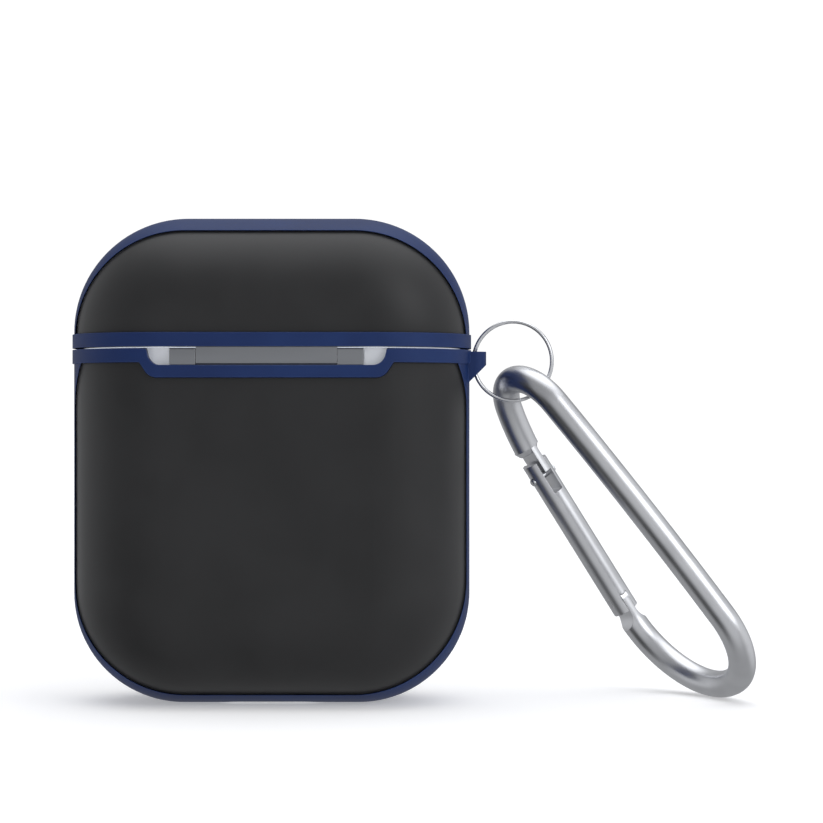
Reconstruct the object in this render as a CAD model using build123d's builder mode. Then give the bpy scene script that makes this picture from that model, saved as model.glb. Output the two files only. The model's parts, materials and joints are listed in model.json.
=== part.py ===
from build123d import *
import math
import os

# Wireless earbuds charging case in a two-piece protective cover, with a key ring and a carabiner.
# Millimetres. +Z is up, -Y is the hinge side and +X is the key-ring side.
# The origin is the middle of the cover's bottom, where the case stands.

os.makedirs("parts", exist_ok=True)

# ---------------------------------------------------------------- driving dimensions
# Cover, outside
COVER_WIDTH, COVER_HEIGHT, COVER_DEPTH = 46.6, 57.0, 24.0
COVER_CORNER_LOW, COVER_CORNER_TOP = 13.0, 13.5
COVER_EDGE = 11.2        # round between a broad face and the rim
FIT_GAP = 0.04           # cover to case
WINDOW_REACH = 20.0      # longer than the cover is deep on one side
WINDOW_NEAR_Y = -9.0     # cuts through the rear wall start here, inside the case
BOTTOM_OPENING = (13.0, 6.4, 3.0)        # width, depth and corner of the cut-out below the socket

# Charging case, outside (the cover's walls are what lies between the two)
CASE_WIDTH, CASE_HEIGHT, CASE_DEPTH = 44.3, 53.5, 21.3
CASE_FLOOR = 1.7         # the cover's bottom wall
CASE_CORNER_LOW, CASE_CORNER_TOP = 11.5, 12.0
CASE_EDGE = 10.05
SHELL_WALL = 1.5
INNER_GAP = 0.05         # between a shell and the insert inside it
RUNNING_GAP = 0.05       # pin to a bore that turns on it
PRESS_GAP = 0.01         # pin to a bore that holds it

# Parting line between lid and base
SEAM_Z = 41.55
BASE_COVER_TOP = SEAM_Z - 0.10
LID_COVER_LOW = SEAM_Z + 0.10
BASE_SHELL_TOP = SEAM_Z - 0.03
LID_SHELL_LOW = SEAM_Z + 0.03
BAND_HEIGHT = 1.6        # raised band along each side of the parting line
BAND_PROUD = 0.2
SEAM_CLEAR = 0.02        # a panel's straight edge to the band

# Hard panels let into the cover's broad faces
PANEL_HALF_WIDTH = 22.84
PANEL_INSET = 0.25       # the frame stands this far proud of the panels
PANEL_THICK = 0.55
PANEL_GAP = 0.05
PANEL_SIDE_Y = 2.6       # how far from the middle plane a panel's sides start
BASE_PANEL_LOW, LID_PANEL_TOP = 1.43, 55.14
BASE_PANEL_CORNER, LID_PANEL_CORNER = 13.3, 13.0

# Hinge
HINGE_Y, HINGE_Z = -11.3, 40.43
KNUCKLE_R = 0.86
KNUCKLE_FACE = 0.74      # the knuckles' flat outer face, out from the axis
KNUCKLE_ROUND = 0.2
LID_FACE_Z = (39.60, 41.62)
BASE_FACE_Z = (39.56, 41.45)
NOTCH_RELIEF_R = 1.08    # the lid's knuckle turns inside this
PIN_R = 0.40
KNUCKLE_HALF = 8.0       # half of the lid's middle knuckle
HINGE_HALF = 11.0        # half of the whole hinge
KNUCKLE_SPLIT = 0.05
LEAF_THICK = 0.43
LEAF_GAP = 0.08          # a leaf's sides to its pocket
LEAF_BACK_Y = -CASE_DEPTH / 2 + 0.02
LEAF_POCKET_Y = -10.12
LEAF_Z = (35.6, 39.1, 45.2)      # foot of the base leaf, its top between the knuckles, top of the lid leaf
LEAF_POCKET_Z = (35.5, 42.0, 45.3)
SWEEP_R = 1.15           # the lid's underside passes the hinge axis a little further out than this
NOTCH_HALF, NOTCH_SLOPE, NOTCH_FLOOR_Z, NOTCH_CORNER = 13.7, 0.5, 39.53, 1.45
DIP_HALF, DIP_SLOPE, DIP_FLOOR_Z, DIP_CORNER = 14.45, 1.15, 38.12, 1.6
NOTCH_LIP_Y = -11.9      # the notch floor's front lip stands outside this

# Key-ring lug and ring
LUG_IN_X, LUG_OUT_X, LUG_TOP_Z, LUG_SIDE_Z, LUG_ROOT_Z = 22.3, 25.25, 41.28, 39.73, 36.8
LUG_HALF = 3.0
LUG_SLOT_X = (23.50, 24.4)
LUG_SLOT_HALF = 1.7
RING_CENTRE = (28.40, -0.83, 40.19)
RING_YAW = -9.85         # degrees that the ring's plane is turned from the XZ plane
RING_R, RING_WIRE_R = 4.65, 0.225

# Carabiner: a bent round bar. Its shape lies in one plane: x up the spine, y toward the gate.
CARABINER_FOOT = (52.302, -7.175, 10.690)
SPINE_DIRECTION = (-0.5987, 0.0119, 0.8009)
GATE_SIDE_DIRECTION = (-0.3406, 0.9012, -0.2680)
BAR_R = 1.6
SPINE_BOW = 5.48                 # degrees that the spine bends over its length
# Radius and turn of each bend, in order round the loop; the last one closes it
TOP_BEND = (5.4715, 139.76)
NOSE_BEND = (20.36, 24.12)
FOOT_BEND_A = (10.616, 108.58)
FOOT_BEND_B = (7.938, 360.0 - SPINE_BOW - 139.76 - 24.12 - 108.58)

# Gate stations, measured along the gate line from the nose
GATE_START, GATE_END = -0.7, 21.0
NOSE_SHOULDER, NOSE_FLAT_START, NOSE_TIP = -2.67, -1.97, 1.75
NOSE_END_R = 1.2         # the round bar tapers to this at the start of its flats
NOSE_BLADE, NOSE_BLADE_SHIFT = 0.9, -0.18
FORK_SLOT, FORK_DEPTH = 1.36, 3.65
LATCH_T, LATCH_R, LATCH_SEAT_R = 1.3, 0.42, 0.5
LATCH_HEAD_R, LATCH_HEAD_PROUD = 0.48, 0.26
PIVOT_T, PIVOT_R = 19.3, 0.5
TONGUE_THICK, TONGUE_SLOT = 0.95, 1.03
TONGUE_FLAT_END = 21.3   # from here the milled flats run out into the round bar
FLAT_CUTTER_R = 2.0
TONGUE_POCKET_R = 1.66
GATE_BORE_END = 17.9
GATE_BORE_R, GATE_BORE_T = 1.05, 5.6
SPRING_R, SPRING_WIRE_R, SPRING_TURNS = 0.78, 0.2, 8
PLUNGER_T, PLUNGER_END = 15.0, 17.55

# Inside
HEAD_X, HEAD_R, HEAD_Z = 9.8, 7.2, 36.6
STEM_X, STEM_R, STEM_WALL, STEM_FLOOR_Z = 12.6, 3.2, 0.7, 8.0
CRADLE_TOP, CRADLE_LOW = 41.3, 27.5
LINER_LOW, LID_POCKET_Z = 41.75, 44.5
BUTTON_Z, BUTTON_R, BUTTON_TRAVEL = 18.0, 2.3, 0.3


# ---------------------------------------------------------------- shared shapes
def pebble(width, depth, z_low, z_high, corner_low, corner_top, edge):
    """Rounded-corner front outline with fully rounded front and back edges."""
    with BuildPart() as form:
        with BuildSketch(Plane.XZ) as front:
            with Locations((0, (z_low + z_high) / 2)):
                Rectangle(width, z_high - z_low)
            fillet(front.vertices().group_by(Axis.Y)[0], corner_low)
            fillet(front.vertices().group_by(Axis.Y)[-1], corner_top)
        extrude(amount=depth / 2, both=True)
        fillet(form.faces().sort_by(Axis.Y)[0].edges(), edge)
        fillet(form.faces().sort_by(Axis.Y)[-1].edges(), edge)
    return form.part


def cover_form(grow=0.0):
    return pebble(
        COVER_WIDTH + 2 * grow,
        COVER_DEPTH + 2 * grow,
        -grow,
        COVER_HEIGHT + grow,
        COVER_CORNER_LOW + grow,
        COVER_CORNER_TOP + grow,
        COVER_EDGE + grow,
    )


def case_form(grow=0.0):
    return pebble(
        CASE_WIDTH + 2 * grow,
        CASE_DEPTH + 2 * grow,
        CASE_FLOOR - grow,
        CASE_FLOOR + CASE_HEIGHT + grow,
        CASE_CORNER_LOW + grow,
        CASE_CORNER_TOP + grow,
        CASE_EDGE + grow,
    )


def band_ring(z_low, height):
    """Plan of the cover at the parting line, standing proud of it."""
    with BuildPart() as band:
        with BuildSketch(Plane.XY.offset(z_low)):
            RectangleRounded(
                COVER_WIDTH + 2 * BAND_PROUD, COVER_DEPTH + 2 * BAND_PROUD, COVER_EDGE + BAND_PROUD
            )
        extrude(amount=height)
    return band.part


def rear_window(top_half, floor_half, top_z, floor_z, corner, near_y, grow=0.0):
    """Solid that cuts a flat-bottomed notch with sloping sides through the rear wall."""
    with BuildPart() as window:
        with BuildSketch(Plane.XZ.offset(-near_y)) as outline:
            with BuildLine():
                Polyline(
                    (-top_half - grow, top_z),
                    (-floor_half - grow, floor_z - grow),
                    (floor_half + grow, floor_z - grow),
                    (top_half + grow, top_z),
                    close=True,
                )
            make_face()
            fillet(outline.vertices().group_by(Axis.Y)[0], corner)
        extrude(amount=WINDOW_REACH)
    return window.part


def hinge_notch():
    return rear_window(
        NOTCH_HALF, NOTCH_HALF - NOTCH_SLOPE, SEAM_Z, NOTCH_FLOOR_Z, NOTCH_CORNER, WINDOW_NEAR_Y
    )


def band_dip(grow=0.0):
    """The stretch of raised band that passes below the hinge notch."""
    low = BASE_COVER_TOP - BAND_HEIGHT + 0.05
    with BuildPart() as dip:
        add(band_ring(DIP_FLOOR_Z - 1.0, low - DIP_FLOOR_Z + 1.0))
        add(
            rear_window(DIP_HALF, DIP_HALF - DIP_SLOPE, low, DIP_FLOOR_Z, DIP_CORNER, WINDOW_NEAR_Y, grow),
            mode=Mode.INTERSECT,
        )
    return dip.part


def panel_prism(side, band_z, round_z, corner, grow=0.0):
    """Front outline of a hard panel, swept out through the wall on the rear (-1) or front (+1).

    It is straight along the band at `band_z` and has rounded corners at `round_z`.
    """
    away = 1 if round_z > band_z else -1
    straight = band_z - away * grow
    with BuildPart() as prism:
        with BuildSketch(Plane.XZ.offset(PANEL_SIDE_Y - grow if side < 0 else -PANEL_SIDE_Y + grow)):
            with Locations((0, round_z - away * COVER_WIDTH / 2 + away * grow)):
                RectangleRounded(2 * (PANEL_HALF_WIDTH + grow), COVER_WIDTH, corner + grow)
            with Locations((0, straight - away * COVER_WIDTH / 2)):
                Rectangle(2 * COVER_WIDTH, COVER_WIDTH, mode=Mode.SUBTRACT)
        extrude(amount=-side * WINDOW_REACH)
    return prism.part


def base_panel_prism(side, grow=0.0):
    return panel_prism(side, BASE_COVER_TOP - BAND_HEIGHT - SEAM_CLEAR, BASE_PANEL_LOW, BASE_PANEL_CORNER, grow)


def lid_panel_prism(side, grow=0.0):
    return panel_prism(side, LID_COVER_LOW + BAND_HEIGHT + SEAM_CLEAR, LID_PANEL_TOP, LID_PANEL_CORNER, grow)


def save(part, label):
    part.label = label
    export_step(part, f"parts/{label}.step")


cover_outer = cover_form()
panel_outer = cover_form(-PANEL_INSET)
panel_back = cover_form(-PANEL_INSET - PANEL_THICK)
pocket_back = cover_form(-PANEL_INSET - PANEL_THICK - PANEL_GAP)
cover_cavity = case_form(FIT_GAP)
case_outer = case_form()
case_inner = case_form(-SHELL_WALL)
insert_form = case_form(-SHELL_WALL - INNER_GAP)

# ---------------------------------------------------------------- cover, base half
with BuildPart() as panel_pockets:
    for side in (-1, 1):
        add(base_panel_prism(side, PANEL_GAP))
        add(lid_panel_prism(side, PANEL_GAP))
    add(pocket_back, mode=Mode.SUBTRACT)

with BuildPart() as key_lug:
    with BuildSketch(Plane.XZ.offset(-LUG_HALF)) as lug_side:
        with BuildLine():
            Polyline(
                (LUG_IN_X, LUG_TOP_Z),
                (LUG_OUT_X, LUG_TOP_Z),
                (LUG_OUT_X, LUG_SIDE_Z),
                (LUG_IN_X, LUG_ROOT_Z),
                close=True,
            )
        make_face()
    extrude(amount=2 * LUG_HALF)
    fillet(key_lug.faces().sort_by(Axis.X)[-1].edges().filter_by(Axis.Z), 1.3)
    with BuildSketch(Plane.XY.offset(LUG_ROOT_Z - 1.0)):
        with Locations((sum(LUG_SLOT_X) / 2, 0)):
            RectangleRounded(LUG_SLOT_X[1] - LUG_SLOT_X[0], 2 * LUG_SLOT_HALF, 0.3)
    extrude(amount=6.0, mode=Mode.SUBTRACT)

with BuildPart() as lid_sweep:
    with BuildSketch(Plane.YZ) as sweep_profile:
        with Locations((HINGE_Y - 1.5, HINGE_Z + 1.0)):
            Rectangle(3.0, 2.0)
        with Locations((HINGE_Y, HINGE_Z)):
            Circle(SWEEP_R, mode=Mode.SUBTRACT)
    extrude(amount=COVER_WIDTH / 2, both=True)

with BuildPart() as knuckle_relief:
    with BuildSketch(Plane.YZ):
        with Locations((HINGE_Y, HINGE_Z)):
            Circle(NOTCH_RELIEF_R)
        with Locations((NOTCH_LIP_Y - 1.0, HINGE_Z - 1.0)):
            Rectangle(2.0, 2.0, mode=Mode.SUBTRACT)
    extrude(amount=KNUCKLE_HALF + 0.1, both=True)

with BuildPart() as cover_base_frame:
    add(cover_outer)
    add(panel_pockets.part, mode=Mode.SUBTRACT)
    split(bisect_by=Plane.XY.offset(BASE_COVER_TOP), keep=Keep.BOTTOM)
    add(band_ring(BASE_COVER_TOP - BAND_HEIGHT, BAND_HEIGHT))
    add(band_dip())
    add(key_lug.part)
    add(cover_cavity, mode=Mode.SUBTRACT)
    add(hinge_notch(), mode=Mode.SUBTRACT)
    add(lid_sweep.part, mode=Mode.SUBTRACT)
    add(knuckle_relief.part, mode=Mode.SUBTRACT)
    with BuildSketch(Plane.XY.offset(-1)):
        RectangleRounded(*BOTTOM_OPENING)
    extrude(amount=CASE_FLOOR + 2, mode=Mode.SUBTRACT)
save(cover_base_frame.part, "cover_base_frame")

with BuildPart() as cover_base_rear_panel:
    add(panel_outer)
    add(base_panel_prism(-1), mode=Mode.INTERSECT)
    add(panel_back, mode=Mode.SUBTRACT)
    add(band_dip(PANEL_GAP), mode=Mode.SUBTRACT)
save(cover_base_rear_panel.part, "cover_base_rear_panel")

with BuildPart() as cover_base_front_panel:
    add(panel_outer)
    add(base_panel_prism(1), mode=Mode.INTERSECT)
    add(panel_back, mode=Mode.SUBTRACT)
save(cover_base_front_panel.part, "cover_base_front_panel")

# ---------------------------------------------------------------- cover, lid half
with BuildPart() as cover_lid_frame:
    add(cover_outer)
    add(panel_pockets.part, mode=Mode.SUBTRACT)
    split(bisect_by=Plane.XY.offset(LID_COVER_LOW), keep=Keep.TOP)
    add(band_ring(LID_COVER_LOW, BAND_HEIGHT))
    add(cover_cavity, mode=Mode.SUBTRACT)
save(cover_lid_frame.part, "cover_lid_frame")

with BuildPart() as cover_lid_rear_panel:
    add(panel_outer)
    add(lid_panel_prism(-1), mode=Mode.INTERSECT)
    add(panel_back, mode=Mode.SUBTRACT)
save(cover_lid_rear_panel.part, "cover_lid_rear_panel")

with BuildPart() as cover_lid_front_panel:
    add(panel_outer)
    add(lid_panel_prism(1), mode=Mode.INTERSECT)
    add(panel_back, mode=Mode.SUBTRACT)
save(cover_lid_front_panel.part, "cover_lid_front_panel")

# ---------------------------------------------------------------- charging case
PORT_WIDTH, PORT_DEPTH, PORT_HEIGHT = 9.0, 3.0, 6.5
button_axis = Plane.XZ.offset(CASE_DEPTH / 2 - 3.0)

with BuildPart() as base_shell:
    add(case_outer)
    add(case_inner, mode=Mode.SUBTRACT)
    split(bisect_by=Plane.XY.offset(BASE_SHELL_TOP), keep=Keep.BOTTOM)
    with BuildSketch(Plane.XZ.offset(-LEAF_POCKET_Y)):
        with Locations((0, (LEAF_POCKET_Z[0] + LEAF_POCKET_Z[1]) / 2)):
            Rectangle(2 * (HINGE_HALF + LEAF_GAP), LEAF_POCKET_Z[1] - LEAF_POCKET_Z[0])
    extrude(amount=3.0, mode=Mode.SUBTRACT)
    with BuildSketch(Plane.XY):
        SlotOverall(PORT_WIDTH, PORT_DEPTH)
    extrude(amount=5.0, mode=Mode.SUBTRACT)
    with BuildSketch(button_axis):
        with Locations((0, BUTTON_Z)):
            Circle(BUTTON_R + 0.1)
    extrude(amount=5.0, mode=Mode.SUBTRACT)
save(base_shell.part, "base_shell")

with BuildPart() as lid_shell:
    add(case_outer)
    add(case_inner, mode=Mode.SUBTRACT)
    split(bisect_by=Plane.XY.offset(LID_SHELL_LOW), keep=Keep.TOP)
    with BuildSketch(Plane.XZ.offset(-LEAF_POCKET_Y)):
        with Locations((0, (HINGE_Z + LEAF_POCKET_Z[2]) / 2)):
            Rectangle(2 * (KNUCKLE_HALF + LEAF_GAP), LEAF_POCKET_Z[2] - HINGE_Z)
    extrude(amount=3.0, mode=Mode.SUBTRACT)
save(lid_shell.part, "lid_shell")

MAGNET_X, MAGNET_Y = 2.3, 7.2
MAGNET_SIZE = (3.4, 1.8, 2.6)

with BuildPart() as earbud_cradle:
    add(insert_form)
    split(bisect_by=Plane.XY.offset(CRADLE_TOP), keep=Keep.BOTTOM)
    split(bisect_by=Plane.XY.offset(CRADLE_LOW), keep=Keep.TOP)
    for side in (-1, 1):
        with BuildSketch(Plane.XY.offset(STEM_FLOOR_Z - 1.0)):
            with Locations((side * STEM_X, 0)):
                Circle(STEM_R + STEM_WALL)
        extrude(amount=CRADLE_LOW - STEM_FLOOR_Z + 2.0)
        with BuildSketch(Plane.XY.offset(STEM_FLOOR_Z)):
            with Locations((side * STEM_X, 0)):
                Circle(STEM_R)
        extrude(amount=CRADLE_TOP - STEM_FLOOR_Z, mode=Mode.SUBTRACT)
        with BuildSketch(Plane.XY.offset(HEAD_Z)):
            with Locations((side * HEAD_X, 0)):
                Circle(HEAD_R)
        extrude(amount=CRADLE_TOP - HEAD_Z, mode=Mode.SUBTRACT)
        with Locations((side * HEAD_X, 0, HEAD_Z)):
            Sphere(HEAD_R, mode=Mode.SUBTRACT)
        with Locations((side * MAGNET_X, MAGNET_Y, CRADLE_TOP - MAGNET_SIZE[2] / 2)):
            Box(MAGNET_SIZE[0] + 0.1, MAGNET_SIZE[1] + 0.1, MAGNET_SIZE[2] + 0.1, mode=Mode.SUBTRACT)
    with BuildSketch(Plane.XY.offset(CRADLE_TOP - 1.3)):
        Circle(0.95)
    extrude(amount=2.0, mode=Mode.SUBTRACT)
save(earbud_cradle.part, "earbud_cradle")

with BuildPart() as lid_liner:
    add(insert_form)
    split(bisect_by=Plane.XY.offset(LINER_LOW), keep=Keep.TOP)
    for side in (-1, 1):
        with BuildSketch(Plane.XY.offset(LINER_LOW)):
            with Locations((side * HEAD_X, 0)):
                Circle(HEAD_R)
        extrude(amount=LID_POCKET_Z - LINER_LOW, mode=Mode.SUBTRACT)
        with Locations((side * HEAD_X, 0, LID_POCKET_Z)):
            Sphere(HEAD_R, mode=Mode.SUBTRACT)
        with Locations((side * MAGNET_X, MAGNET_Y, LINER_LOW + MAGNET_SIZE[2] / 2)):
            Box(MAGNET_SIZE[0] + 0.1, MAGNET_SIZE[1] + 0.1, MAGNET_SIZE[2] + 0.1, mode=Mode.SUBTRACT)
save(lid_liner.part, "lid_liner")

with BuildPart() as base_magnets:
    with Locations([(side * MAGNET_X, MAGNET_Y, CRADLE_TOP - MAGNET_SIZE[2] / 2) for side in (-1, 1)]):
        Box(*MAGNET_SIZE)
save(base_magnets.part, "base_magnets")

with BuildPart() as lid_magnets:
    with Locations([(side * MAGNET_X, MAGNET_Y, LINER_LOW + MAGNET_SIZE[2] / 2) for side in (-1, 1)]):
        Box(*MAGNET_SIZE)
save(lid_magnets.part, "lid_magnets")

with BuildPart() as battery_cell:
    with Locations((0, 0, 18.6)):
        Box(15.0, 8.0, 16.4)
    fillet(battery_cell.edges().filter_by(Axis.Z), 1.5)
    fillet(battery_cell.faces().sort_by(Axis.Z)[-1].edges(), 0.6)
save(battery_cell.part, "battery_cell")

BOARD_Y, BOARD_THICK = 6.0, 0.8
with BuildPart() as logic_board:
    with Locations((0, BOARD_Y, 17.6)):
        Box(16.0, BOARD_THICK, 18.4)
    chamfer(logic_board.edges().filter_by(Axis.Y), 1.0)
save(logic_board.part, "logic_board")

with BuildPart() as logic_chips:
    chips = [(-3.6, 21.5, 5.2, 5.2), (3.4, 22.2, 4.0, 4.0), (4.2, 15.8, 3.0, 4.6), (-4.4, 14.4, 2.6, 3.4)]
    for x, z, wide, tall in chips:
        with Locations((x, BOARD_Y + BOARD_THICK / 2 + 0.45, z)):
            Box(wide, 0.9, tall)
save(logic_chips.part, "logic_chips")

with BuildPart() as charging_coil:
    with BuildSketch(Plane.XZ.offset(-8.9)):
        with Locations((0, 19.0)):
            Circle(7.0)
            Circle(3.6, mode=Mode.SUBTRACT)
    extrude(amount=0.5)
save(charging_coil.part, "charging_coil")

with BuildPart() as charging_port:
    with BuildSketch(Plane.XY.offset(CASE_FLOOR + 0.1)):
        SlotOverall(PORT_WIDTH - 0.1, PORT_DEPTH - 0.1)
        SlotOverall(PORT_WIDTH - 0.8, PORT_DEPTH - 0.8, mode=Mode.SUBTRACT)
    extrude(amount=PORT_HEIGHT)
    with BuildSketch(Plane.XY.offset(CASE_FLOOR + PORT_HEIGHT)):
        SlotOverall(PORT_WIDTH + 0.6, PORT_DEPTH + 0.6)
    extrude(amount=0.6)
save(charging_port.part, "charging_port")

with BuildPart() as port_contacts:
    with Locations((0, 0, CASE_FLOOR + PORT_HEIGHT - 2.0)):
        Box(6.4, 0.6, 4.0)
save(port_contacts.part, "port_contacts")

with BuildPart() as charge_contacts:
    for side in (-1, 1):
        with BuildSketch(Plane.XY.offset(STEM_FLOOR_Z)):
            with Locations((side * STEM_X - 1.3, 0), (side * STEM_X + 1.3, 0)):
                Circle(0.8)
        extrude(amount=0.5)
save(charge_contacts.part, "charge_contacts")

with BuildPart() as status_light:
    with BuildSketch(Plane.XY.offset(CRADLE_TOP - 1.28)):
        Circle(0.9)
    extrude(amount=1.28)
save(status_light.part, "status_light")

with BuildPart() as setup_button:
    with BuildSketch(Plane.XZ.offset(8.95)):
        with Locations((0, BUTTON_Z)):
            Circle(BUTTON_R)
    extrude(amount=CASE_DEPTH / 2 - 0.02 - 8.95)
    with BuildSketch(Plane.XZ.offset(8.5)):
        with Locations((0, BUTTON_Z)):
            Circle(BUTTON_R + 0.6)
    extrude(amount=0.5)
save(setup_button.part, "setup_button")

with BuildPart() as button_switch:
    with BuildSketch(Plane.XZ.offset(6.9)):
        with Locations((0, BUTTON_Z)):
            Rectangle(4.4, 4.4)
    extrude(amount=0.9)
    with BuildSketch(Plane.XZ.offset(7.8)):
        with Locations((0, BUTTON_Z)):
            Circle(1.2)
    extrude(amount=0.35)
save(button_switch.part, "button_switch")

with BuildPart() as switch_board:
    with Locations((0, -6.5, BUTTON_Z)):
        Box(12.0, 0.8, 12.0)
    chamfer(switch_board.edges().filter_by(Axis.Y), 1.0)
save(switch_board.part, "switch_board")


# ---------------------------------------------------------------- hinge
def knuckle(x_low, x_high, radius):
    """Round bar along X on the hinge axis."""
    with BuildPart() as bar:
        with BuildSketch(Plane.YZ.offset(x_low)):
            with Locations((HINGE_Y, HINGE_Z)):
                Circle(radius)
        extrude(amount=x_high - x_low)
    return bar.part


def faced_knuckle(x_low, x_high, z_range, corner_at):
    """Knuckle with a flat outer face that fills the notch; its corner at +1 top or -1 bottom is rounded."""
    with BuildPart() as bar:
        with BuildSketch(Plane.YZ.offset(x_low)) as profile:
            with Locations((HINGE_Y - KNUCKLE_FACE / 2, sum(z_range) / 2)):
                Rectangle(KNUCKLE_FACE, z_range[1] - z_range[0])
            outer = profile.vertices().group_by(Axis.X)[0].sort_by(Axis.Y)
            fillet(outer[-1] if corner_at > 0 else outer[0], KNUCKLE_ROUND)
            with Locations((HINGE_Y, HINGE_Z)):
                Circle(KNUCKLE_R)
            with Locations((HINGE_Y - KNUCKLE_FACE - 1.0, HINGE_Z)):
                Rectangle(2.0, 4.0, mode=Mode.SUBTRACT)
        extrude(amount=x_high - x_low)
    return bar.part


def leaf_plate(x_low, x_high, z_low, z_high):
    with BuildPart() as plate:
        with BuildSketch(Plane.XZ.offset(-LEAF_BACK_Y - LEAF_THICK)):
            with Locations(((x_low + x_high) / 2, (z_low + z_high) / 2)):
                Rectangle(x_high - x_low, z_high - z_low)
        extrude(amount=LEAF_THICK)
    return plate.part


with BuildPart() as hinge_base_leaf:
    add(leaf_plate(-HINGE_HALF, HINGE_HALF, LEAF_Z[0], LEAF_Z[1]))
    for low, high in ((-HINGE_HALF, -KNUCKLE_HALF), (KNUCKLE_HALF, HINGE_HALF)):
        inner_low = low + (KNUCKLE_SPLIT if low > 0 else 0)
        inner_high = high - (KNUCKLE_SPLIT if high < 0 else 0)
        add(leaf_plate(inner_low, inner_high, LEAF_Z[1] - 0.1, HINGE_Z + 0.3))
        add(faced_knuckle(inner_low, inner_high, BASE_FACE_Z, 1))
    add(knuckle(-HINGE_HALF - 1, HINGE_HALF + 1, PIN_R + PRESS_GAP), mode=Mode.SUBTRACT)
save(hinge_base_leaf.part, "hinge_base_leaf")

with BuildPart() as hinge_lid_leaf:
    add(leaf_plate(-KNUCKLE_HALF, KNUCKLE_HALF, HINGE_Z, LEAF_Z[2]))
    add(faced_knuckle(-KNUCKLE_HALF, KNUCKLE_HALF, LID_FACE_Z, -1))
    add(knuckle(-KNUCKLE_HALF - 1, KNUCKLE_HALF + 1, PIN_R + RUNNING_GAP), mode=Mode.SUBTRACT)
save(hinge_lid_leaf.part, "hinge_lid_leaf")

with BuildPart() as hinge_pin:
    add(knuckle(-HINGE_HALF + 0.1, HINGE_HALF - 0.1, PIN_R))
save(hinge_pin.part, "hinge_pin")

# ---------------------------------------------------------------- split ring
ring_plane = Plane(
    origin=RING_CENTRE,
    x_dir=(math.cos(math.radians(RING_YAW)), math.sin(math.radians(RING_YAW)), 0),
    z_dir=(math.sin(math.radians(RING_YAW)), -math.cos(math.radians(RING_YAW)), 0),
)
with BuildPart() as key_ring:
    with BuildSketch(Plane(origin=RING_CENTRE, x_dir=ring_plane.x_dir, z_dir=(0, 0, 1))) as wires:
        with Locations((RING_R, RING_WIRE_R - 0.02), (RING_R, -RING_WIRE_R + 0.02)):
            Circle(RING_WIRE_R)
    revolve(axis=Axis(RING_CENTRE, ring_plane.z_dir), revolution_arc=360)
save(key_ring.part, "key_ring")

# ---------------------------------------------------------------- carabiner
spine_x = Vector(*SPINE_DIRECTION).normalized()
loop_normal = spine_x.cross(Vector(*GATE_SIDE_DIRECTION)).normalized()
loop_plane = Plane(origin=CARABINER_FOOT, x_dir=spine_x, z_dir=loop_normal)


def bend(start, heading, radius, turn):
    """End point and heading of a left-hand arc in the loop's plane, heading in degrees."""
    first = math.radians(heading)
    last = math.radians(heading + turn)
    x = start[0] + radius * (math.sin(last) - math.sin(first))
    y = start[1] + radius * (math.cos(first) - math.cos(last))
    return (x, y), heading + turn


def heading_vector(degrees):
    return (math.cos(math.radians(degrees)), math.sin(math.radians(degrees)))


def cross(a, b):
    return a[0] * b[1] - a[1] * b[0]


# The spine and the gate line are as long as it takes to close the loop
bends_end, run_heading = (0.0, 0.0), SPINE_BOW
for radius, turn in (TOP_BEND, NOSE_BEND, FOOT_BEND_A, FOOT_BEND_B):
    bends_end, run_heading = bend(bends_end, run_heading, radius, turn)
spine_way = heading_vector(SPINE_BOW / 2)
gate_way = heading_vector(SPINE_BOW + TOP_BEND[1] + NOSE_BEND[1])
spine_chord = -cross(bends_end, gate_way) / cross(spine_way, gate_way)
gate_line = -cross(bends_end, spine_way) / cross(gate_way, spine_way)
spine_radius = spine_chord / (2 * math.sin(math.radians(SPINE_BOW / 2)))

top_start, top_heading = bend((0.0, 0.0), 0.0, spine_radius, SPINE_BOW)
nose_start, nose_heading = bend(top_start, top_heading, *TOP_BEND)
gate_zero, gate_heading = bend(nose_start, nose_heading, *NOSE_BEND)
gate_angle = math.radians(gate_heading)
gate_axis = loop_plane.x_dir * math.cos(gate_angle) + loop_plane.y_dir * math.sin(gate_angle)
gate_origin = loop_plane.from_local_coords(Vector(*gate_zero, 0))
# Along the gate line: x runs from the nose to the pivot, y points into the loop, z is the loop's normal
gate_plane = Plane(origin=gate_origin, x_dir=gate_axis, z_dir=loop_normal)


def gate_point(station):
    return gate_plane.from_local_coords(Vector(station, 0, 0))


def across_gate(station):
    """Plane square to the gate line, facing along it from the nose to the pivot."""
    return Plane(origin=gate_point(station), x_dir=loop_normal, z_dir=gate_axis)


def gate_slab(t_low, t_high, thick):
    """Plate across the bar, `thick` along the loop's normal."""
    with BuildPart() as slab:
        with BuildSketch(gate_plane.offset(-thick / 2)):
            with Locations(((t_low + t_high) / 2, 0)):
                Rectangle(t_high - t_low, 4 * BAR_R)
        extrude(amount=thick)
    return slab.part


def along_gate(station):
    """The station's point in the loop plane's own coordinates."""
    return (
        gate_zero[0] + station * math.cos(gate_angle),
        gate_zero[1] + station * math.sin(gate_angle),
    )


def cross_pin(station, radius, half_length):
    """Round pin through the gate line, along the loop's normal."""
    with BuildPart() as pin:
        with BuildSketch(gate_plane.offset(-half_length)):
            with Locations((station, 0)):
                Circle(radius)
        extrude(amount=2 * half_length)
    return pin.part


foot_a_end, foot_a_heading = bend(along_gate(gate_line), gate_heading, *FOOT_BEND_A)

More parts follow.
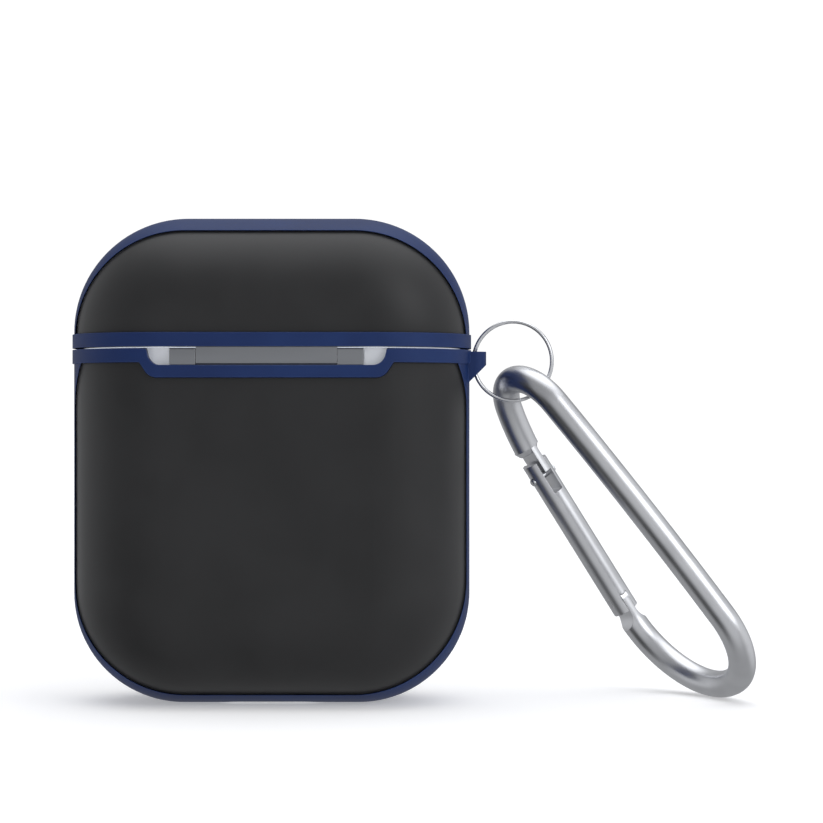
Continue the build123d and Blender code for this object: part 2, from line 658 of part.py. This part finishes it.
with BuildPart() as foot_bar:
    with BuildLine(loop_plane) as foot_path:
        Line(along_gate(PIVOT_T), along_gate(gate_line))
        JernArc(along_gate(gate_line), heading_vector(gate_heading), FOOT_BEND_A[0], FOOT_BEND_A[1])
        JernArc(foot_a_end, heading_vector(foot_a_heading), FOOT_BEND_B[0], FOOT_BEND_B[1])
    with BuildSketch(across_gate(PIVOT_T)):
        Circle(BAR_R)
    sweep(path=foot_path.line)

with BuildPart() as nose_bar:
    with BuildLine(loop_plane) as nose_path:
        JernArc((0, 0), (1, 0), spine_radius, SPINE_BOW)
        JernArc(top_start, heading_vector(top_heading), TOP_BEND[0], TOP_BEND[1])
        JernArc(nose_start, heading_vector(nose_heading), NOSE_BEND[0], NOSE_BEND[1])
    with BuildSketch(Plane(origin=loop_plane.origin, x_dir=loop_normal, z_dir=spine_x)):
        Circle(BAR_R)
    sweep(path=nose_path.line)

with BuildPart() as tongue_flats:
    for side in (-1, 1):
        with BuildSketch(Plane(origin=gate_point(0), x_dir=gate_axis, z_dir=gate_plane.y_dir)):
            with Locations(((PIVOT_T - 3 + TONGUE_FLAT_END) / 2, side * (TONGUE_THICK / 2 + FLAT_CUTTER_R))):
                Rectangle(TONGUE_FLAT_END - PIVOT_T + 3, 2 * FLAT_CUTTER_R)
            with Locations((TONGUE_FLAT_END, side * (TONGUE_THICK / 2 + FLAT_CUTTER_R))):
                Circle(FLAT_CUTTER_R)
        extrude(amount=2 * BAR_R, both=True)

with BuildPart() as nose_gap:
    with BuildSketch(across_gate(NOSE_SHOULDER)):
        Circle(2 * BAR_R)
    extrude(amount=-NOSE_SHOULDER + 1)

with BuildPart() as nose_blade:
    with BuildSketch(across_gate(NOSE_SHOULDER)):
        Circle(BAR_R)
    extrude(amount=NOSE_TIP - NOSE_SHOULDER)
    with BuildSketch(gate_plane.offset(NOSE_BLADE_SHIFT - NOSE_BLADE / 2)):
        with Locations((0, 0)):
            Rectangle(4 * NOSE_TIP, 4 * BAR_R)
    extrude(amount=NOSE_BLADE, mode=Mode.INTERSECT)
    with BuildSketch(gate_plane.offset(-BAR_R)):
        with Locations((LATCH_T, 0)):
            Circle(LATCH_SEAT_R)
        with Locations((LATCH_T - LATCH_SEAT_R + BAR_R, BAR_R)):
            Rectangle(2 * BAR_R, 2 * BAR_R)
        with Locations((LATCH_T + BAR_R, BAR_R - LATCH_SEAT_R)):
            Rectangle(2 * BAR_R, 2 * BAR_R)
    extrude(amount=2 * BAR_R, mode=Mode.SUBTRACT)

with BuildPart() as carabiner_body:
    add(nose_bar.part)
    add(nose_gap.part, mode=Mode.SUBTRACT)
    with BuildSketch(across_gate(NOSE_SHOULDER)):
        Circle(BAR_R)
    with BuildSketch(across_gate(NOSE_FLAT_START)):
        Circle(NOSE_END_R)
    loft()
    add(nose_blade.part)
    add(foot_bar.part)
    add(tongue_flats.part, mode=Mode.SUBTRACT)
    add(cross_pin(PIVOT_T, BAR_R, TONGUE_THICK / 2))
    add(cross_pin(PIVOT_T, PIVOT_R + RUNNING_GAP, BAR_R), mode=Mode.SUBTRACT)
save(carabiner_body.part, "carabiner_body")

with BuildPart() as gate_round:
    with BuildSketch(across_gate(GATE_START)):
        Circle(BAR_R)
    extrude(amount=GATE_END - GATE_START)

with BuildPart() as carabiner_gate:
    add(gate_round.part)
    with BuildSketch(across_gate(GATE_BORE_T)):
        Circle(GATE_BORE_R)
    extrude(amount=GATE_BORE_END - GATE_BORE_T, mode=Mode.SUBTRACT)
    add(gate_slab(GATE_START - 1, FORK_DEPTH, FORK_SLOT), mode=Mode.SUBTRACT)
    add(gate_slab(PIVOT_T, GATE_END + 1, TONGUE_SLOT), mode=Mode.SUBTRACT)
    add(cross_pin(PIVOT_T, TONGUE_POCKET_R, TONGUE_SLOT / 2), mode=Mode.SUBTRACT)
    add(cross_pin(LATCH_T, LATCH_R + PRESS_GAP, 2 * BAR_R), mode=Mode.SUBTRACT)
    add(cross_pin(PIVOT_T, PIVOT_R + PRESS_GAP, 2 * BAR_R), mode=Mode.SUBTRACT)
save(carabiner_gate.part, "carabiner_gate")

with BuildPart() as gate_latch_pin:
    add(cross_pin(LATCH_T, LATCH_HEAD_R, BAR_R + LATCH_HEAD_PROUD))
    fillet(gate_latch_pin.edges().filter_by(GeomType.CIRCLE), LATCH_HEAD_PROUD - 0.06)
    add(gate_round.part, mode=Mode.SUBTRACT)
    add(cross_pin(LATCH_T, LATCH_R, BAR_R))
save(gate_latch_pin.part, "gate_latch_pin")

with BuildPart() as gate_pivot_pin:
    add(cross_pin(PIVOT_T, PIVOT_R, BAR_R))
    add(gate_round.part, mode=Mode.INTERSECT)
save(gate_pivot_pin.part, "gate_pivot_pin")

with BuildPart() as gate_plunger:
    with BuildSketch(across_gate(PLUNGER_T)):
        Circle(GATE_BORE_R - 0.06)
    extrude(amount=PLUNGER_END - PLUNGER_T)
    fillet(gate_plunger.faces().sort_by(Axis(gate_point(0), gate_axis))[-1].edges(), 0.5)
save(gate_plunger.part, "gate_plunger")

spring_length = PLUNGER_T - GATE_BORE_T - 2 * SPRING_WIRE_R - 0.1
with BuildPart() as gate_spring:
    coil = Helix(
        pitch=spring_length / SPRING_TURNS,
        height=spring_length,
        radius=SPRING_R,
        center=gate_point(GATE_BORE_T + SPRING_WIRE_R + 0.05),
        direction=gate_axis,
    )
    with BuildSketch(Plane(origin=coil @ 0, z_dir=coil % 0)):
        Circle(SPRING_WIRE_R)
    sweep(path=coil, is_frenet=True)
save(gate_spring.part, "gate_spring")
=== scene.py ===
import json
import math

import bmesh
import bpy
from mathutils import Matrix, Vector


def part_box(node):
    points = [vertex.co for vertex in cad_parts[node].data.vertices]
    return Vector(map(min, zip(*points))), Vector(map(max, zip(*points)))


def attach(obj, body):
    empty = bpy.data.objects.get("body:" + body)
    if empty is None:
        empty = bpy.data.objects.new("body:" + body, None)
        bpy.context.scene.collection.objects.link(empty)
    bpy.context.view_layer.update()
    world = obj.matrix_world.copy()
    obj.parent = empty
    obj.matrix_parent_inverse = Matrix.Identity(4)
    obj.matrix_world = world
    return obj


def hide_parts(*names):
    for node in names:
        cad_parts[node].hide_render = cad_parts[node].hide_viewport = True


# Looks for the wireless earbuds case in its cover, with the key ring and the carabiner.
# Metres. The frame is the CAD's: +Z up, -Y the hinge side, +X the key-ring side.
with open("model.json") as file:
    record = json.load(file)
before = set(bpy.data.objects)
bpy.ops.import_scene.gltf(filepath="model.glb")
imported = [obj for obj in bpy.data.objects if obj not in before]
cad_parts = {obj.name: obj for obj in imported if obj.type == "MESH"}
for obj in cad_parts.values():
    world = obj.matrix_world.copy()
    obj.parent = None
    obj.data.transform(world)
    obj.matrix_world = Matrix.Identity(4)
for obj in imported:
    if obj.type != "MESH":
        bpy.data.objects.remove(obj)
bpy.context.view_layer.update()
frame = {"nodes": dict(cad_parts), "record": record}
MM = 0.001
SHARP_ANGLE = math.radians(28)           # faces meeting at more than this keep a sharp edge
CAMERA_PLACE = (0.01645, -0.271, 0.03425)
CAMERA_LENS = 100.0
CAMERA_SENSOR = 36.0


# ---------------------------------------------------------------- node helpers
def add_node(tree, kind, inputs=None, **properties):
    """A node whose inputs are plain values or other nodes' outputs."""
    made = tree.nodes.new(kind)
    for key, value in properties.items():
        setattr(made, key, value)
    for key, value in (inputs or {}).items():
        if isinstance(value, bpy.types.NodeSocket):
            tree.links.new(value, made.inputs[key])
        else:
            made.inputs[key].default_value = value
    return made


def maths(tree, operation, first, second, third=0.0):
    inputs = {0: first, 1: second, 2: third}
    return add_node(tree, "ShaderNodeMath", inputs, operation=operation).outputs[0]


def mapped(tree, value, from_low, from_high, to_low, to_high):
    inputs = {"Value": value, "From Min": from_low, "From Max": from_high, "To Min": to_low, "To Max": to_high}
    return add_node(tree, "ShaderNodeMapRange", inputs, interpolation_type="SMOOTHSTEP").outputs["Result"]


def mixed(tree, factor, first, second):
    made = add_node(tree, "ShaderNodeMix", data_type="RGBA")
    for socket, value in zip((made.inputs[0], made.inputs[6], made.inputs[7]), (factor, first, second)):
        if isinstance(value, bpy.types.NodeSocket):
            tree.links.new(value, socket)
        else:
            socket.default_value = value
    return made.outputs[2]


def srgb(red, green, blue):
    """Linear colour from 8-bit display values."""
    def linear(value):
        share = value / 255
        return share / 12.92 if share <= 0.04045 else ((share + 0.055) / 1.055) ** 2.4
    return (linear(red), linear(green), linear(blue), 1.0)


# ---------------------------------------------------------------- materials
BEVEL_SAMPLES = 4
EDGE_ALIKE = 0.86            # a bevelled normal this far from the face's own counts as full edge
DRIFT_NOISE = (0.3, 0.7)     # noise levels over which the colour goes from low to high
SPECKLE_NOISE = (0.35, 0.65)
SPECKLE_SHARE = 0.12


def object_noise(tree, size, stretch=(1, 1, 1), detail=3.0, distortion=0.0):
    """Noise in the object's own space, with features about `size` metres across."""
    place = add_node(tree, "ShaderNodeTexCoord").outputs["Object"]
    scaled = add_node(tree, "ShaderNodeMapping", {"Vector": place, "Scale": tuple(s / size for s in stretch)})
    inputs = {"Vector": scaled.outputs[0], "Scale": 1.0, "Detail": detail, "Distortion": distortion}
    return add_node(tree, "ShaderNodeTexNoise", inputs).outputs["Fac"]


def edge_mask(tree, rounded, strength):
    """0 on open surface, rising to 1 along edges, from a bevelled normal."""
    flat = add_node(tree, "ShaderNodeNewGeometry").outputs["Normal"]
    inputs = {0: rounded, 1: flat}
    alike = add_node(tree, "ShaderNodeVectorMath", inputs, operation="DOT_PRODUCT").outputs["Value"]
    return mapped(tree, alike, 1.0, EDGE_ALIKE, 0.0, strength)


def finish_surface(
    name, low, high, patch, roughness, grain, depth, stretch=(1, 1, 1),
    wear_and_edge_highlight=None, bevel_radius=0.15 * MM, **sockets
):
    """A Principled material with softened edges.

    Colour drifts between low and high over `patch`. Roughness and height follow grain of size `grain` and
    height `depth`. An edge colour and share, when given, lighten every edge, partly as wear and partly as a
    painted highlight; `sockets` are the shader's own.
    """
    material = bpy.data.materials.new(name)
    material.use_nodes = True
    tree = material.node_tree
    shader = tree.nodes["Principled BSDF"]
    broad = object_noise(tree, patch, stretch, detail=2.0, distortion=0.4)
    fine = object_noise(tree, grain, stretch)
    drift = mapped(tree, broad, *DRIFT_NOISE, 0.0, 1.0)
    colour = mixed(tree, drift, low, high)
    speckle = mapped(tree, fine, *SPECKLE_NOISE, 0.0, SPECKLE_SHARE)
    colour = mixed(tree, speckle, colour, high)
    rounded = add_node(tree, "ShaderNodeBevel", {"Radius": bevel_radius}, samples=BEVEL_SAMPLES).outputs[0]
    # Lighter edges, concave and convex alike: partly wear, partly a painted highlight along every edge.
    if wear_and_edge_highlight:
        colour = mixed(tree, edge_mask(tree, rounded, wear_and_edge_highlight[1]), colour, wear_and_edge_highlight[0])
    tree.links.new(colour, shader.inputs["Base Color"])
    half_range = (roughness[1] - roughness[0]) / 2
    rough = maths(tree, "MULTIPLY_ADD", maths(tree, "ADD", broad, fine), half_range, roughness[0])
    tree.links.new(rough, shader.inputs["Roughness"])
    bump = add_node(
        tree, "ShaderNodeBump", {"Strength": 1.0, "Distance": depth, "Height": fine, "Normal": rounded}
    )
    tree.links.new(bump.outputs[0], shader.inputs["Normal"])
    for key, value in sockets.items():
        shader.inputs[key.replace("_", " ")].default_value = value
    return material


def cover_blue():
    return finish_surface(
        "cover_blue", srgb(10, 35, 82), srgb(17, 43, 92), 9 * MM, (0.44, 0.58), 0.16 * MM, 0.003 * MM,
        wear_and_edge_highlight=(srgb(70, 90, 146), 0.45), Specular_IOR_Level=0.25,
    )


def panel_grey():
    return finish_surface(
        "panel_grey", srgb(28, 28, 29), srgb(34, 34, 35), 11 * MM, (0.42, 0.54), 0.13 * MM, 0.003 * MM,
        wear_and_edge_highlight=(srgb(104, 104, 107), 0.5), Specular_IOR_Level=0.36, Sheen_Weight=0.16, Sheen_Roughness=0.35,
    )


def shell_white():
    # The faint bluish emission is painted light: the white plastic glows a little so it stays bright in shade.
    return finish_surface(
        "shell_white", srgb(234, 236, 240), srgb(240, 242, 245), 12 * MM, (0.08, 0.18), 0.6 * MM, 0.0006 * MM,
        Coat_Weight=0.35, Coat_Roughness=0.08, Emission_Color=(0.9, 0.94, 1.0, 1.0), Emission_Strength=0.16,
    )


def brushed(name, low, high, roughness, direction):
    return finish_surface(
        name, low, high, 3 * MM, roughness, 0.05 * MM, 0.0015 * MM, stretch=direction,
        wear_and_edge_highlight=(srgb(214, 216, 220), 0.5), bevel_radius=0.08 * MM, Metallic=1.0,
    )


def hinge_steel():
    return brushed("hinge_steel", srgb(136, 138, 142), srgb(148, 150, 154), (0.34, 0.50), (0.06, 1.0, 1.0))


def pin_steel():
    return brushed("pin_steel", srgb(190, 191, 194), srgb(206, 207, 210), (0.16, 0.34), (1.0, 1.0, 1.0))


def port_steel():
    return brushed("port_steel", srgb(176, 177, 180), srgb(192, 193, 196), (0.20, 0.40), (1.0, 1.0, 0.2))


def carabiner_metal():
    return finish_surface(
        "carabiner_metal", srgb(206, 207, 210), srgb(218, 219, 222), 5 * MM, (0.28, 0.38), 0.07 * MM,
        0.0006 * MM, wear_and_edge_highlight=(srgb(238, 238, 240), 0.5), bevel_radius=0.1 * MM, Metallic=1.0,
    )


def ring_steel():
    return finish_surface(
        "ring_steel", srgb(216, 217, 220), srgb(228, 229, 232), 2 * MM, (0.18, 0.30), 0.06 * MM, 0.0004 * MM,
        wear_and_edge_highlight=(srgb(238, 238, 240), 0.4), bevel_radius=0.05 * MM, Metallic=1.0,
    )


def magnet():
    return brushed("magnet", srgb(176, 177, 182), srgb(190, 191, 196), (0.14, 0.30), (1.0, 1.0, 1.0))


def contact_metal():
    return brushed("contact_metal", srgb(212, 178, 110), srgb(226, 194, 126), (0.14, 0.30), (1.0, 1.0, 1.0))


def copper():
    return brushed("copper", srgb(190, 112, 66), srgb(208, 130, 80), (0.22, 0.40), (1.0, 0.3, 1.0))


def battery_wrap():
    return finish_surface(
        "battery_wrap", srgb(34, 35, 38), srgb(44, 45, 48), 4 * MM, (0.30, 0.50), 0.3 * MM, 0.003 * MM,
        wear_and_edge_highlight=(srgb(90, 90, 94), 0.4),
    )


def board():
    return finish_surface(
        "board", srgb(18, 74, 46), srgb(26, 92, 58), 2 * MM, (0.24, 0.40), 0.25 * MM, 0.002 * MM,
        wear_and_edge_highlight=(srgb(120, 140, 96), 0.5),
    )


def chip():
    return finish_surface(
        "chip", srgb(24, 24, 26), srgb(34, 34, 36), 1.5 * MM, (0.40, 0.60), 0.08 * MM, 0.002 * MM,
        wear_and_edge_highlight=(srgb(70, 70, 74), 0.5),
    )


def light_lens():
    return finish_surface(
        "light_lens", srgb(214, 226, 214), srgb(226, 236, 226), 0.8 * MM, (0.10, 0.22), 0.1 * MM, 0.0008 * MM,
        Coat_Weight=0.5, Transmission_Weight=0.35,
    )


SLOT_MAKERS = (
    cover_blue, panel_grey, shell_white, hinge_steel, pin_steel, port_steel, carabiner_metal, ring_steel,
    magnet, contact_metal, copper, battery_wrap, board, chip, light_lens,
)
materials = {maker.__name__: maker() for maker in SLOT_MAKERS}
slot_of = {part["node"]: part["material_slot"] for part in frame["record"]["subparts"]}


def dress_cad_nodes():
    """Smooth shading up to a sharp angle, and the slot's material, on every carried-over node."""
    for name, obj in frame["nodes"].items():
        mesh = obj.data
        mesh.shade_smooth()
        mesh.set_sharp_from_angle(angle=SHARP_ANGLE)
        mesh.materials.clear()
        mesh.materials.append(materials[slot_of[name]])


# ---------------------------------------------------------------- key ring as one length of coiled wire
RING_YAW = math.radians(-9.85)
WIRE_R = 0.217 * MM
TURN_OFFSET = 0.213 * MM     # each turn's middle from the ring's middle plane
CROSSING = 25                # degrees over which the wire steps from one turn to the next
FIRST_END = -48              # degrees round from the ring's outer side
WIRE_SIDES = 20
STEP_DEGREES = 2
END_CLEARANCE = 4            # degrees that the second end stops short of the crossing
END_ROUND = ((0.0, 0.0), (0.5, 0.6), (1.2, 0.85))     # degrees from an end, share of full thickness


def coiled_ring():
    """Split ring: two touching turns with a crossing between them and two plain rounded ends."""
    low, high = (Vector(corner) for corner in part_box("key_ring"))
    centre = (low + high) / 2
    outward = Vector((math.cos(RING_YAW), math.sin(RING_YAW), 0.0))
    along_axis = Vector((math.sin(RING_YAW), -math.cos(RING_YAW), 0.0))
    radius = (high.z - low.z) / 2 - WIRE_R
    # Stations along the wire: angle in degrees and share of full thickness
    last = 720 - CROSSING - END_CLEARANCE
    stations = list(END_ROUND)
    stations += [(float(angle), 1.0) for angle in range(STEP_DEGREES, last - 1, STEP_DEGREES)]
    stations += [(last - angle, share) for angle, share in reversed(END_ROUND)]
    form = bmesh.new()
    rings = []
    for angle, share in stations:
        step = min(max((angle - (360 - CROSSING - STEP_DEGREES)) / CROSSING, 0.0), 1.0)
        offset = TURN_OFFSET * (2 * step * step * (3 - 2 * step) - 1)
        turned = math.radians(FIRST_END + angle)
        radial = outward * math.cos(turned) + Vector((0, 0, math.sin(turned)))
        middle = centre + radial * radius + along_axis * offset
        if share == 0.0:
            rings.append([form.verts.new(middle)])
            continue
        ring = []
        for side in range(WIRE_SIDES):
            around = 2 * math.pi * side / WIRE_SIDES
            away = radial * math.cos(around) + along_axis * math.sin(around)
            ring.append(form.verts.new(middle + away * WIRE_R * share))
        rings.append(ring)
    for first, second in zip(rings, rings[1:]):
        for side in range(WIRE_SIDES):
            after = (side + 1) % WIRE_SIDES
            if len(first) == 1:
                form.faces.new((first[0], second[side], second[after]))
            elif len(second) == 1:
                form.faces.new((first[side], second[0], first[after]))
            else:
                form.faces.new((first[side], second[side], second[after], first[after]))
    bmesh.ops.recalc_face_normals(form, faces=form.faces)
    mesh = bpy.data.meshes.new("key_ring_wire")
    form.to_mesh(mesh)
    form.free()
    mesh.shade_smooth()
    mesh.materials.append(materials["ring_steel"])
    obj = bpy.data.objects.new("key_ring_wire", mesh)
    bpy.context.scene.collection.objects.link(obj)
    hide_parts("key_ring")
    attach(obj, "ring")


# ---------------------------------------------------------------- stage, light and camera
FLOOR_ALBEDO = (0.78, 0.78, 0.79, 1.0)
FLOOR_GLOW = 0.33
FLOOR_ROUGHNESS = 0.8
FLOOR_RADIUS = 4.0
BACKDROP_RADIUS = 6.0
BACKDROP_GLOW = 1.05
WORLD_TINT = (0.97, 0.98, 1.0, 1.0)


def staged(name, form, material):
    mesh = bpy.data.meshes.new(name)
    form.to_mesh(mesh)
    form.free()
    mesh.materials.append(material)
    obj = bpy.data.objects.new(name, mesh)
    bpy.context.scene.collection.objects.link(obj)
    return obj


def floor():
    """Plain pale floor with soft shadows. Polished metal isn't lit by its mirror image."""
    material = bpy.data.materials.new("floor_white")
    material.use_nodes = True
    shader = material.node_tree.nodes["Principled BSDF"]
    shader.inputs["Base Color"].default_value = FLOOR_ALBEDO
    shader.inputs["Roughness"].default_value = FLOOR_ROUGHNESS
    shader.inputs["Specular IOR Level"].default_value = 0.0
    shader.inputs["Emission Color"].default_value = (1.0, 1.0, 1.0, 1.0)
    shader.inputs["Emission Strength"].default_value = FLOOR_GLOW
    form = bmesh.new()
    bmesh.ops.create_circle(form, cap_ends=True, segments=96, radius=FLOOR_RADIUS)
    staged("floor", form, material).visible_glossy = False


def backdrop():
    """White surround that only the camera sees, so the metal keeps a darker room to reflect."""
    material = bpy.data.materials.new("backdrop_white")
    material.use_nodes = True
    tree = material.node_tree
    tree.nodes.remove(tree.nodes["Principled BSDF"])
    glow = add_node(tree, "ShaderNodeEmission", {"Color": (1.0, 1.0, 1.0, 1.0), "Strength": BACKDROP_GLOW})
    tree.links.new(glow.outputs[0], tree.nodes["Material Output"].inputs["Surface"])
    form = bmesh.new()
    bmesh.ops.create_uvsphere(form, u_segments=48, v_segments=24, radius=BACKDROP_RADIUS)
    obj = staged("backdrop", form, material)
    obj.visible_diffuse = obj.visible_glossy = obj.visible_transmission = obj.visible_shadow = False


# Direction towards each soft patch of light, its half angles in degrees (full, then faded out), and radiance
LIGHT_PATCHES = (
    ((0.684, -0.588, 0.431), 7, 24, 2.6),  # key, right of the camera and above
    ((0.1, 0.1, 1.0), 14, 50, 1.6),        # overhead
    ((1.0, 0.1, 0.0), 20, 48, 0.35),       # right
    ((0.2, -1.0, -0.25), 10, 45, 0.28),    # fill, at the camera
    ((-1.0, 0.2, 0.1), 12, 40, 0.30),      # left
    ((-0.67, -0.5, -0.55), 8, 30, -0.40),  # dark flag, low on the left
)
AMBIENT = 0.42


def studio_world():
    world = bpy.data.worlds.new("studio")
    bpy.context.scene.world = world
    world.use_nodes = True
    tree = world.node_tree
    background = tree.nodes["Background"]
    way = add_node(tree, "ShaderNodeTexCoord").outputs["Generated"]
    total = AMBIENT
    for direction, full, faded, radiance in LIGHT_PATCHES:
        aim = tuple(Vector(direction).normalized())
        towards = add_node(tree, "ShaderNodeVectorMath", {0: way, 1: aim}, operation="DOT_PRODUCT")
        edge, core = math.cos(math.radians(faded)), math.cos(math.radians(full))
        patch = mapped(tree, towards.outputs["Value"], edge, core, 0.0, 1.0)
        total = maths(tree, "MULTIPLY_ADD", patch, radiance, total)
    tree.links.new(total, background.inputs["Strength"])
    background.inputs["Color"].default_value = WORLD_TINT


def camera():
    data = bpy.data.cameras.new("camera")
    data.lens = CAMERA_LENS
    data.sensor_width = CAMERA_SENSOR
    data.clip_start, data.clip_end = 0.01, 100.0
    obj = bpy.data.objects.new("camera", data)
    obj.location = CAMERA_PLACE
    obj.rotation_euler = (math.radians(90), 0.0, 0.0)
    bpy.context.scene.collection.objects.link(obj)
    bpy.context.scene.camera = obj


dress_cad_nodes()
coiled_ring()
floor()
backdrop()
studio_world()
camera()
bpy.context.scene.view_settings.view_transform = "Standard"
